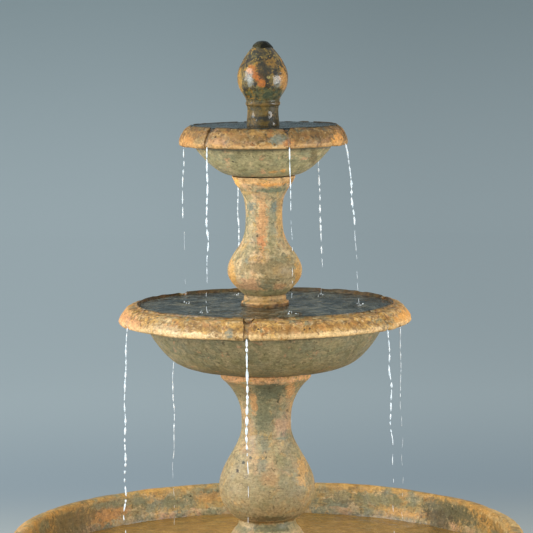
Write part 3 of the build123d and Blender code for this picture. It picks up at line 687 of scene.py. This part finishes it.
def stone(name, seed, body, rim, blotches=(), behind=False, edge_and_highlight_colour=GOLD, soaked=0.0, shine=1.33):
    """Cast stone with patina, and with painted highlights and painted shade. body and rim are its two looks;
    its zones and wetness say where each is.

    The blotches are on its front, or behind. soaked is how wet it is all over, and shine is the
    refractive index of the film of water, which breaks up on the rim look.
    """
    n = Nodes(name)
    place = n.squeezed(n.place(), (1, 1, 1), (seed * 1.7, seed * 0.9, seed * 0.4))
    ragged = n.warped(n.warped(place, 16.0, 0.03), 60.0, 0.016)
    zones = n.add("Attribute", attribute_name="zones")
    # Zones: worn edges with painted highlights, painted shade in hollows and inside the crest, painted shadow
    # in the spillways, and the rim look.
    edge, hollow_shade, brink_shade = n.add("SeparateColor", {"Color": zones.outputs["Color"]}).outputs
    blur = n.band(n.noise(ragged, 50.0, 4.0), 0.3, 0.7, -0.3, 0.3)
    is_rim = n.band(n.math("ADD", zones.outputs["Alpha"], blur), 0.35, 0.65)
    colour = n.mix(is_rim, mottled(n, ragged, body, 3.0), mottled(n, ragged, rim, 11.0))

    if blotches:
        colour = blotched(n, n.warped(n.place(), 60.0, 0.008), colour, blotches, behind)
    # Worn edges lighter, and a painted highlight along the noses.
    edge_wear_and_highlight = n.times(edge, n.band(n.noise(ragged, 55.0, 4.0), 0.36, 0.56))
    colour = n.stained(colour, edge_wear_and_highlight, 0.75, edge_and_highlight_colour)
    # Painted shade in concave corners and inside the bowls' crests.
    colour = n.stained(colour, hollow_shade, 0.55, DEEP_OLIVE)
    # Painted shadow along the spillways' walls.
    colour = n.stained(colour, n.band(brink_shade, 0.1, 0.9), 0.75, BRINK_SHADE)

    grain = n.noise(place, 150.0, 6.0, 0.75)
    scratches = n.noise(n.squeezed(place, (1, 1, 5.0)), 60.0, 5.0, 0.7)
    broad = n.noise(ragged, 9.0, 3.0)
    colour = n.shaded(colour, grain, 0.32, 0.68, (0.44, 0.40, 0.33), (1.40, 1.39, 1.34), 0.5)
    colour = n.shaded(colour, scratches, 0.35, 0.65, (0.70, 0.67, 0.60), (1.20, 1.19, 1.16), 0.5)
    colour = n.shaded(colour, broad, 0.35, 0.65, (0.84, 0.84, 0.84), (1.12, 1.10, 1.06), 0.7)
    specks = n.band(n.noise(ragged, 110.0, 3.0), 0.60, 0.68)
    colour = n.stained(colour, specks, 0.5, DARK)
    pits = n.band(n.cells(n.warped(place, 60.0, 0.012), 38.0), 0.07, 0.13, 1.0, 0.0)
    pits = n.times(pits, n.band(n.noise(place, 26.0, 1.0), 0.56, 0.61))
    colour = n.stained(colour, pits, 0.8, DARK)

    wetness = n.add("Attribute", attribute_name="wetness").outputs["Fac"]
    if soaked:
        wetness = n.math("MAXIMUM", wetness, soaked)
    colour = n.mix(wetness, colour, n.mix(1.0, colour, (0.36, 0.31, 0.22, 1), "MULTIPLY"))

    relief = n.bump(pits, 0.9, -0.0025)
    relief = n.bump(n.noise(ragged, 80.0, 5.0, 0.6), 0.6, 0.0018, relief)
    relief = n.bump(grain, 0.6, 0.0010, relief)
    rough = n.band(n.noise(ragged, 34.0, 4.0), 0.35, 0.65, 0.45, 0.75)
    film = n.bump(n.noise(n.warped(place, 20.0, 0.02), 34.0, 3.0, 0.45), 0.6, 0.006)
    broken = n.times(is_rim, n.band(n.noise(place, 70.0, 3.0), 0.52, 0.60, 1.0, 0.0))
    covered = n.times(n.band(wetness, 0.2, 0.8), n.band(broken, 0.0, 1.0, 1.0, 0.05))
    return n.finish(Base_Color=colour, Roughness=rough, Normal=relief, Specular_IOR_Level=0.5,
                    Coat_Weight=covered, Coat_Roughness=0.08, Coat_IOR=shine, Coat_Normal=film)


def simple(name, colour, dark, scale, roughness, metallic=0.0):
    """A plastic, rubber, ceramic or metal, with slight unevenness of colour, gloss and surface."""
    n = Nodes(name)
    cloud = n.noise(n.place(), scale, 4.0)
    mixed = n.mix(n.band(cloud, 0.35, 0.65), rgb(*dark), rgb(*colour))
    rough = n.band(cloud, 0.3, 0.7, roughness * 0.85, min(1.0, roughness * 1.15))
    fine = n.bump(n.noise(n.place(), scale * 6, 3.0), 0.35, 0.0003)
    return n.finish(Base_Color=mixed, Roughness=rough, Metallic=metallic, Normal=fine)


def pool_water(name, deep, bright, roughness=0.10, gloss=0.5):
    """Murky water that is seen as its own colour under reflections; its lighter mottle is partly its own
    colour and partly a painted reflection of ripples.
    """
    n = Nodes(name)
    place = n.place()
    swirl = n.warped(n.warped(place, 10.0, 0.05), 40.0, 0.016)
    cloud = n.band(n.noise(swirl, 26.0, 9.0, 0.74), 0.43, 0.60)
    flecks = n.band(n.noise(swirl, 60.0, 5.0, 0.65), 0.50, 0.62)
    colour = n.stained(n.mix(cloud, rgb(*deep), rgb(*bright)), flecks, 0.4, deep)
    ripple = n.bump(n.noise(n.warped(place, 20.0, 0.03), 18.0, 4.0, 0.55), 1.0, 0.015)
    ripple = n.bump(n.noise(place, 90.0, 3.0, 0.6), 0.8, 0.0032, ripple)
    return n.finish(Base_Color=colour, Roughness=roughness, Normal=ripple, IOR=1.33, Specular_IOR_Level=gloss)


def clear_water():
    """A thin sheet of water that the stone shows through."""
    n = Nodes("clear_water")
    ripple = n.bump(n.noise(n.squeezed(n.place(), (1, 1, 0.3)), 120.0, 3.0), 0.7, 0.003)
    return n.finish(Base_Color=rgb(206, 214, 212), Roughness=0.06, Normal=ripple, IOR=1.33,
                    Specular_IOR_Level=0.8, Alpha=0.07)


def falling_water():
    """White glints of water in the air: painted glints, white drops with a faint painted glow."""
    n = Nodes("falling_water")
    cloud = n.noise(n.place(), 160.0, 2.0)
    colour = n.mix(n.band(cloud, 0.3, 0.7), rgb(196, 210, 218), rgb(244, 248, 250))
    return n.finish(Base_Color=colour, Roughness=0.12, IOR=1.33, Specular_IOR_Level=1.0,
                    Emission_Color=(0.85, 0.93, 1.0, 1.0), Emission_Strength=0.10)


# ---------------- water
def pool(name, level, inner, outer, landings, height, seed, material):
    """The water standing in a bowl, from an inner radius to an outer one, with ripples of a height."""
    columns = 200
    rows = max(24, int((outer - inner) / 0.0045))
    surface = np.column_stack((np.linspace(inner, outer, rows), np.full(rows, level)))
    flat = turned(surface, whole_turn(columns)).reshape(-1, 3)
    calm = flat * (1, 1, 0)
    wave = height * (0.6 * value_noise(calm, 0.045, seed) + 0.4 * value_noise(calm, 0.018, seed + 1))
    for x, y in landings:
        apart = np.hypot(flat[:, 0] - x, flat[:, 1] - y)
        wave += height * 1.6 * np.cos(apart * 2 * math.pi / 0.016) * np.exp(-apart / 0.035)
    flat[:, 2] += wave
    faces = ring_faces(rows, columns)
    thickness = 0.010
    bottom = np.vstack((flat[:columns], flat[-columns:])) - (0, 0, thickness)
    last, inside, outside = len(flat) - columns, len(flat), len(flat) + columns
    for column in range(columns):
        beside = (column + 1) % columns
        faces.append((inside + column, inside + beside, beside, column))
        faces.append((last + column, last + beside, outside + beside, outside + column))
        faces.append((outside + column, outside + beside, inside + beside, inside + column))
    piece = new_object(name, np.vstack((flat, bottom)), faces)
    clean_axis(piece)
    dress(piece, material, "root")


def dress(piece, material, body, replaces=None):
    """Gives a piece its material and body, and hides the CAD node that it stands for."""
    piece.data.materials.clear()
    piece.data.materials.append(material)
    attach(piece, body)
    if replaces:
        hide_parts(replaces)


def thread(points, radii, sides=8):
    """Verts and faces of a closed tapering tube through points."""
    verts = []
    count = len(points)
    for i, (point, radius) in enumerate(zip(points, radii)):
        along = points[min(i + 1, count - 1)] - points[max(i - 1, 0)]
        along = along / (np.linalg.norm(along) + 1e-9)
        side = np.cross(along, (0.3, 1.0, 0.1))
        side /= np.linalg.norm(side)
        other = np.cross(along, side)
        for k in range(sides):
            turn = 2 * math.pi * k / sides
            verts.append(point + radius * (math.cos(turn) * side + math.sin(turn) * other))
    return verts, tube_faces(count, sides)


class Soup:
    """Gathers closed shapes into one mesh."""

    def __init__(self):
        self.verts, self.faces = [], []

    def add(self, verts, faces):
        first = len(self.verts)
        self.verts += list(verts)
        self.faces += [tuple(i + first for i in face) for face in faces]

    def drop(self, centre, radius, stretch=1.0):
        """A drop, stretched upright."""
        steps = 7
        points = [centre + np.array((0, 0, radius * stretch * math.cos(math.pi * i / steps)))
                  for i in range(steps + 1)]
        radii = [max(radius * math.sin(math.pi * i / steps), 0.03 * radius) for i in range(steps + 1)]
        self.add(*thread(points, radii))


def fall_path(angle, lip_r, lip_z, speed, seed):
    """Where a stream is after falling a height: outwards at its speed, wavering more as it falls."""
    out = outward(angle)
    side = np.array((-out[1], out[0], 0.0))

    def at(drop):
        time = math.sqrt(max(drop, 0) * 2 / GRAVITY)
        waver = 0.0035 * min(drop / 0.12, 1.0)
        shift = value_noise(np.array([(drop, seed * 3.1, 0.0), (drop, seed * 3.1, 7.0)]), 0.045, seed)
        place = out * (lip_r + speed * time + waver * shift[0]) + side * (waver * shift[1])
        place[2] = lip_z - drop
        return place
    return at


def stream(name, angle, lip_r, lip_z, end_z, seed, material, speed, thick, fade, gaps):
    """A thin stream: a thread at first, then beads that part and shrink as they fall.

    fade is the share of the fall after which little is left of it; gaps is how broken it is. Gives back
    where it lands.
    """
    path = fall_path(angle, lip_r, lip_z, speed, seed)
    draw = np.random.default_rng(seed)
    soup = Soup()
    height = lip_z - end_z
    drop = 0.0
    while drop < height:
        part = drop / height
        left = 1 - 0.88 * float(smooth_step(part, fade - 0.12, fade + 0.12))
        length = min(draw.uniform(0.008, 0.034) * (1.2 - 0.7 * part), height - drop)
        steps = max(4, int(length / 0.0022))
        drops = [drop + length * i / steps for i in range(steps + 1)]
        points = [path(at) for at in drops]
        beads = value_noise(np.array([(at, seed, 3.0) for at in drops]), 0.007, seed)
        ends = [min(1.0, 0.2 + 3.2 * min(i, steps - i) / steps) for i in range(steps + 1)]
        radii = [thick * left * e * (0.62 + 0.55 * b) + 0.0002 for e, b in zip(ends, beads)]
        if length > 0.004:
            soup.add(*thread(points, radii))
        drop += length + draw.uniform(0.0, 0.012) * (gaps * (0.2 + 2.0 * part ** 2) + 4.0 * (1 - left))
    piece = new_object(name, soup.verts, soup.faces)
    dress(piece, material, "root")
    return path(height)[:2]


def tongues(name, node, cut_angle, spills, width, depth, drop, material):
    """Thin sheets of water through a bowl's spillways and down its rim, to a drop under the crest."""
    outline, _ = stone_outline(node, cut_angle, 0.003)
    crest = highest(outline)
    under = crest[1] - outline[:, 1]
    outside = (outline[:, 0] >= crest[0]) & (under < drop)
    inside = (outline[:, 0] < crest[0]) & (outline[:, 0] > crest[0] - 0.012) & (under < 0.012)
    on_rim = outside | inside
    start = np.argmin(on_rim)
    path, out, cut = (np.roll(v, -start, axis=0)[np.roll(on_rim, -start)] for v in
                      (outline, outward_normals(outline), spillway_depth(outline, depth)))
    columns = np.degrees(np.linspace(-0.82, 0.82, 7) * width / 2 / crest[0])
    soup = Soup()
    for spill, share in spills:
        verts = []
        for row, (point, side, deep) in enumerate(zip(path, out, cut)):
            ring = [(angle, 0.0016 + 0.0007 * math.sin(row * 0.9 + column * 1.3 + spill))
                    for column, angle in enumerate(columns)]
            ring += [(angle, -0.0008) for angle in reversed(columns)]
            for angle, lift in ring:
                r, z = point - side * (share * deep - lift)
                verts.append(r * outward(spill + angle) + np.array((0, 0, z)))
        soup.add(verts, tube_faces(len(path), len(ring)))
    piece = new_object(name, soup.verts, soup.faces)
    clean_axis(piece)
    dress(piece, material, "root")


def splash(name, landings, level, seed, material):
    """Drops thrown up round each place where a stream lands."""
    draw = np.random.default_rng(seed)
    soup = Soup()
    for x, y in landings:
        for _ in range(7):
            turn, reach = draw.uniform(0, 2 * math.pi), draw.uniform(0.002, 0.016)
            rise = draw.uniform(0.0, 0.008) * (1 - reach / 0.03)
            centre = np.array((x + reach * math.cos(turn), y + reach * math.sin(turn), level + 0.0005 + rise))
            soup.drop(centre, draw.uniform(0.0006, 0.0017), draw.uniform(0.6, 1.2))
    piece = new_object(name, soup.verts, soup.faces)
    dress(piece, material, "root")


def dome(name, low, radius, height, material):
    """The water that wells up over the finial's tip and begins to run down it."""
    columns = 64
    turns = np.linspace(0, math.pi / 2, 13)
    outline = [(radius * math.sin(turn), low + height * math.cos(turn)) for turn in turns]
    outline += [(radius - 0.0012, low - 0.002), (radius - 0.005, low - 0.001), (radius - 0.008, low)]
    outline.append((0, low))
    verts = turned(np.array(outline), whole_turn(columns)).reshape(-1, 3)
    outer = smooth_step(np.hypot(verts[:, 0], verts[:, 1]), 0.5 * radius, radius)
    run = outer * (0.5 + 0.5 * value_noise(verts * (1, 1, 0), 0.011, 9))
    verts[:, 2] -= 0.007 * run
    verts[:, :2] *= 1 + (0.0045 * run / radius)[:, None]
    piece = new_object(name, verts, ring_faces(len(outline), columns))
    clean_axis(piece)
    dress(piece, material, "finial")


# ---------------- the fountain
def build_castings():
    """The castings and their patinas with painted highlights and shade, each with the way the outline is cut
    and how fine its mesh is.
    """
    base_patina_and_painted_light = stone("base_patina_and_painted_light", 2, PEDESTAL_LOOK, RIM_LOOK)
    basin_patina_and_painted_light = stone("basin_patina_and_painted_light", 1, PEDESTAL_LOOK, BASIN_LOOK, BASIN_BLOTCHES, behind=True)
    lower_patina_and_painted_light = stone("lower_pedestal_patina_and_painted_light", 3, LOWER_LOOK, RIM_LOOK, LOWER_BLOTCHES,
                         edge_and_highlight_colour=(232, 174, 122))
    middle_patina_and_painted_light = stone("middle_bowl_patina_and_painted_light", 4, SHADED_UNDERSIDE_LOOK, RIM_LOOK, MIDDLE_BLOTCHES,
                          edge_and_highlight_colour=(234, 196, 140))
    upper_patina_and_painted_light = stone("upper_pedestal_patina_and_painted_light", 6, UPPER_LOOK, RIM_LOOK, UPPER_BLOTCHES,
                         edge_and_highlight_colour=(226, 180, 124))
    top_patina_and_painted_light = stone("top_bowl_patina_and_painted_light", 7, LIT_TOP_UNDERSIDE_LOOK, SHADED_TOP_RIM_LOOK, TOP_BLOTCHES,
                       edge_and_highlight_colour=(204, 156, 96))
    finial_patina_and_painted_light = stone("finial_patina_and_painted_light", 5, FINIAL_LOOK, NECK_LOOK, FINIAL_BLOTCHES,
                          edge_and_highlight_colour=(150, 120, 64), soaked=0.55, shine=1.6)

    casting("basin", basin_patina_and_painted_light, 90, 0.012, 260, seed=11, uneven=0.0016,
            rims=[(0.04, 0.06), (0.19, 0.26)], wet_below=BASIN_WATER_Z + 0.003, wet_slope=0.1,
            cutters=[upright_cutter(*hole, 0.2, 0.3) for hole in BASIN_HOLES])
    casting("base_pedestal", base_patina_and_painted_light, 90, 0.012, 160, seed=12, uneven=0.0014,
            rims=[(0.0, 0.03), (0.19, 0.22)], cutters=[arch_cutter(180, 0.060, 0.050, 0.16, 0.14, 0.0)])
    bell_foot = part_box("pump_housing")[0].z
    casting("pump_housing", base_patina_and_painted_light, 45, 0.009, 96, seed=13, uneven=0.0011,
            rims=[(0.165, 0.19)], wet_below=BASIN_WATER_Z + 0.004,
            cutters=[arch_cutter(angle, 0.064, 0.056, 0.06, 0.10, bell_foot) for angle in (0, 90, 180, 270)])
    casting("lower_pedestal", lower_patina_and_painted_light, 90, 0.006, 135, seed=14, uneven=0.0011,
            rims=[(0.0, 0.012), (0.055, 0.060), (0.408, 0.430)], noses=[(0.405, 0.425)])
    casting("middle_bowl", middle_patina_and_painted_light, MIDDLE_CUT, 0.0078, 200, seed=15, uneven=0.0013,
            rims=[(0.119, 0.2)], noses=[(0.119, 0.131)], spills=MIDDLE_SPILLS,
            spill_width=MIDDLE_SPILL_W, spill_depth=MIDDLE_SPILL_DEPTH)
    casting("upper_pedestal", upper_patina_and_painted_light, 90, 0.0055, 115, seed=16, uneven=0.0009,
            rims=[(0.0, 0.044), (0.318, 0.345)], noses=[(0.032, 0.043), (0.318, 0.333)],
            wet_below=MIDDLE_WATER_Z + 0.008)
    casting("top_bowl", top_patina_and_painted_light, TOP_CUT, 0.0056, 170, seed=17, uneven=0.0010, rims=[(0.073, 0.2)],
            noses=[(0.073, 0.082)], spills=TOP_SPILLS, spill_width=TOP_SPILL_W, spill_depth=TOP_SPILL_DEPTH)
    casting("finial", finial_patina_and_painted_light, 90, 0.0034, 100, seed=18, uneven=0.0008, rims=[(0.0, 0.076)],
            body="finial")


def build_fittings():
    """Materials for the CAD nodes that are shown as they are."""
    plain = (("black_rubber", (38, 38, 38), (26, 26, 27), 90.0, 0.75),
             ("black_plastic", (36, 38, 42), (28, 30, 33), 70.0, 0.42),
             ("dial_plastic", (86, 110, 134), (72, 94, 118), 80.0, 0.40),
             ("impeller_plastic", (226, 226, 218), (206, 206, 198), 60.0, 0.38),
             ("rotor_magnet", (74, 74, 78), (52, 52, 56), 120.0, 0.62),
             ("shaft_ceramic", (240, 238, 230), (228, 225, 216), 50.0, 0.18),
             ("tube_plastic", (216, 222, 216), (196, 204, 196), 40.0, 0.30),
             ("pad_plastic", (92, 90, 86), (70, 68, 64), 80.0, 0.7),
             ("copper", (196, 118, 82), (120, 92, 66), 110.0, 0.38, 1.0),
             ("stainless_steel", (206, 206, 204), (176, 177, 178), 130.0, 0.28, 1.0))
    looks = {name: simple(name, *values) for name, *values in plain}
    slots = {part["node"]: part["material_slot"] for part in frame["record"]["subparts"]}
    for node, shape in frame["nodes"].items():
        if slots[node] in looks:
            shape.data.materials.clear()
            shape.data.materials.append(looks[slots[node]])


# The stream at each spillway: its outward speed in m/s, radius, where it fades and how broken it is.
TOP_STREAMS = ((0.03, 0.0018, 0.30, 0.8), (0.12, 0.0029, 0.50, 0.6), (0.05, 0.0024, 0.72, 1.6),
               (0.03, 0.0024, 0.85, 0.1), (0.01, 0.0022, 0.42, 3.2), (0.02, 0.0029, 0.70, 0.8))
MIDDLE_STREAMS = ((0.02, 0.0038, 0.45, 0.4), (0.05, 0.0024, 0.45, 1.6), (0.02, 0.0014, 0.35, 0.8),
                  (0.03, 0.0018, 0.60, 1.0), (0.02, 0.0016, 0.60, 0.8), (0.05, 0.0027, 0.80, 1.0))


def build_water():
    """The pools, streams, splashes and films of water."""
    glint = falling_water()
    slate_water = pool_water("slate_water", (44, 44, 36), (114, 113, 99))
    dark_water = pool_water("dark_water", (28, 30, 28), (58, 62, 58), gloss=0.35)
    welling_water = pool_water("welling_water", (24, 23, 16), (72, 66, 42), roughness=0.15, gloss=0.3)
    amber_water = pool_water("amber_water", (146, 112, 56), (168, 132, 70), roughness=0.06, gloss=0.4)

    def streams(bowl, spills, spouts, lip_height, end_z, seed):
        lip_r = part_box(bowl)[1].x - 0.006
        lip_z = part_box(bowl)[0].z + lip_height
        landings = []
        for i, ((angle, _), spout) in enumerate(zip(spills, spouts)):
            name = f"{bowl}_stream_{i}"
            landings.append(stream(name, angle, lip_r, lip_z, end_z, seed + i, glint, *spout))
        return landings

    top_landings = streams("top_bowl", TOP_SPILLS, TOP_STREAMS, 0.078, MIDDLE_WATER_Z, 40)
    middle_landings = streams("middle_bowl", MIDDLE_SPILLS, MIDDLE_STREAMS, 0.122, BASIN_WATER_Z, 60)
    pool("basin_water", BASIN_WATER_Z, 0.112, 0.578, middle_landings, 0.0016, 71, amber_water)
    pool("middle_bowl_water", MIDDLE_WATER_Z, 0.0585, 0.306, top_landings, 0.0019, 72, slate_water)
    pool("top_bowl_water", TOP_WATER_Z, 0.0375, 0.1775, [], 0.0013, 73, dark_water)
    splash("middle_bowl_splashes", top_landings, MIDDLE_WATER_Z, 81, glint)
    splash("basin_splashes", middle_landings, BASIN_WATER_Z, 82, glint)
    film = clear_water()
    tongues("middle_bowl_tongues", "middle_bowl", MIDDLE_CUT, MIDDLE_SPILLS, MIDDLE_SPILL_W,
            MIDDLE_SPILL_DEPTH, 0.042, film)
    tongues("top_bowl_tongues", "top_bowl", TOP_CUT, TOP_SPILLS, TOP_SPILL_W, TOP_SPILL_DEPTH, 0.044, film)
    dome("finial_water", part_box("finial")[1].z - 0.0090, 0.0222, 0.0120, welling_water)


# ---------------- studio
def studio_surface(name, outline, material):
    """A turned floor or backdrop."""
    columns = 96
    verts = turned(np.array(outline), whole_turn(columns)).reshape(-1, 3)
    surface = new_object(name, verts, ring_faces(len(outline), columns))
    surface.data.materials.append(material)
    return surface


def softbox(name, place, target_z, width, height, power, colour, mirrored=True):
    """A lamp that looks at a height on the fountain's axis. mirrored is whether it shows in reflections."""
    data = bpy.data.lights.new(name, "AREA")
    data.shape = "RECTANGLE"
    data.size, data.size_y = width, height
    data.energy = power
    data.color = colour
    data.spread = math.radians(110)
    light = placed(name, data)
    light.location = place
    light.rotation_mode = "QUATERNION"
    light.rotation_quaternion = (Vector((0, 0, target_z)) - Vector(place)).to_track_quat("-Z", "Y")
    light.visible_glossy = mirrored


def build_studio():
    """A floor and backdrop of pale paper with painted shade, the world's light, the softboxes and the camera.
    """
    n = Nodes("studio_paper")
    where = n.add("SeparateXYZ", {0: n.place()}).outputs
    away = n.length(where[0], where[1])
    # Painted shade on the paper: darker near the fountain, where the softboxes' light pools, darker up the
    # backdrop and towards +X.
    colour = n.mix(n.band(away, 2.2, 5.4), rgb(174, 188, 198), rgb(224, 234, 237))
    colour = n.mix(n.band(where[2], -0.6, 3.0), colour, rgb(176, 189, 192))
    colour = n.mix(n.band(where[0], -1.4, 1.4), colour, n.mix(1.0, colour, (0.84, 0.84, 0.84, 1), "MULTIPLY"))
    paper = n.finish(Base_Color=colour, Roughness=0.95, Specular_IOR_Level=0.05)
    floor_r, wall_r, wall_h = 13.0, 16.0, 9.0
    studio_surface("studio_floor", [(0.001, 0), (1.5, 0), (4, 0), (8, 0), (floor_r, 0)], paper)
    bend = wall_r - floor_r
    turns = np.linspace(0, math.pi / 2, 17)
    sweep = [(floor_r + bend * math.sin(turn), bend * (1 - math.cos(turn))) for turn in turns]
    wall = studio_surface("studio_backdrop", sweep + [(wall_r, wall_h)], paper)
    wall.visible_diffuse = False
    wall.visible_shadow = False

    world = bpy.data.worlds.new("studio")
    bpy.context.scene.world = world
    world.use_nodes = True
    background = world.node_tree.nodes["Background"]
    background.inputs["Color"].default_value = rgb(186, 196, 200)
    background.inputs["Strength"].default_value = 0.85

    softbox("left_softbox", (-3.1, -1.1, 2.1), 1.2, 2.8, 2.6, 56, (0.97, 0.99, 1.0))
    softbox("right_softbox", (3.0, -1.2, 1.2), 1.2, 2.4, 1.4, 27, (0.98, 0.99, 1.0))
    softbox("front_softbox", (-1.2, -4.6, 2.0), 1.0, 2.2, 2.0, 40, (1.0, 0.98, 0.95), mirrored=False)
    for name, x, power in (("left_rim_softbox", -2.6, 27), ("right_rim_softbox", 2.6, 30)):
        softbox(name, (x, 2.4, 1.5), 1.0, 0.7, 2.0, power, (1.0, 0.68, 0.30), mirrored=False)

    data = bpy.data.cameras.new("camera")
    data.lens = CAMERA_LENS
    data.sensor_width = 36.0
    data.clip_end = 500.0
    camera = placed("camera", data)
    turn = Matrix.Rotation(math.radians(90 - CAMERA_PITCH), 4, "X") @ Matrix.Rotation(
        math.radians(-CAMERA_ROLL), 4, "Z")
    camera.matrix_world = Matrix.Translation((CAMERA_SIDE, -CAMERA_DISTANCE, CAMERA_HEIGHT)) @ turn
    bpy.context.scene.camera = camera
    bpy.context.scene.view_settings.view_transform = "Standard"


build_castings()
build_fittings()
build_water()
build_studio()
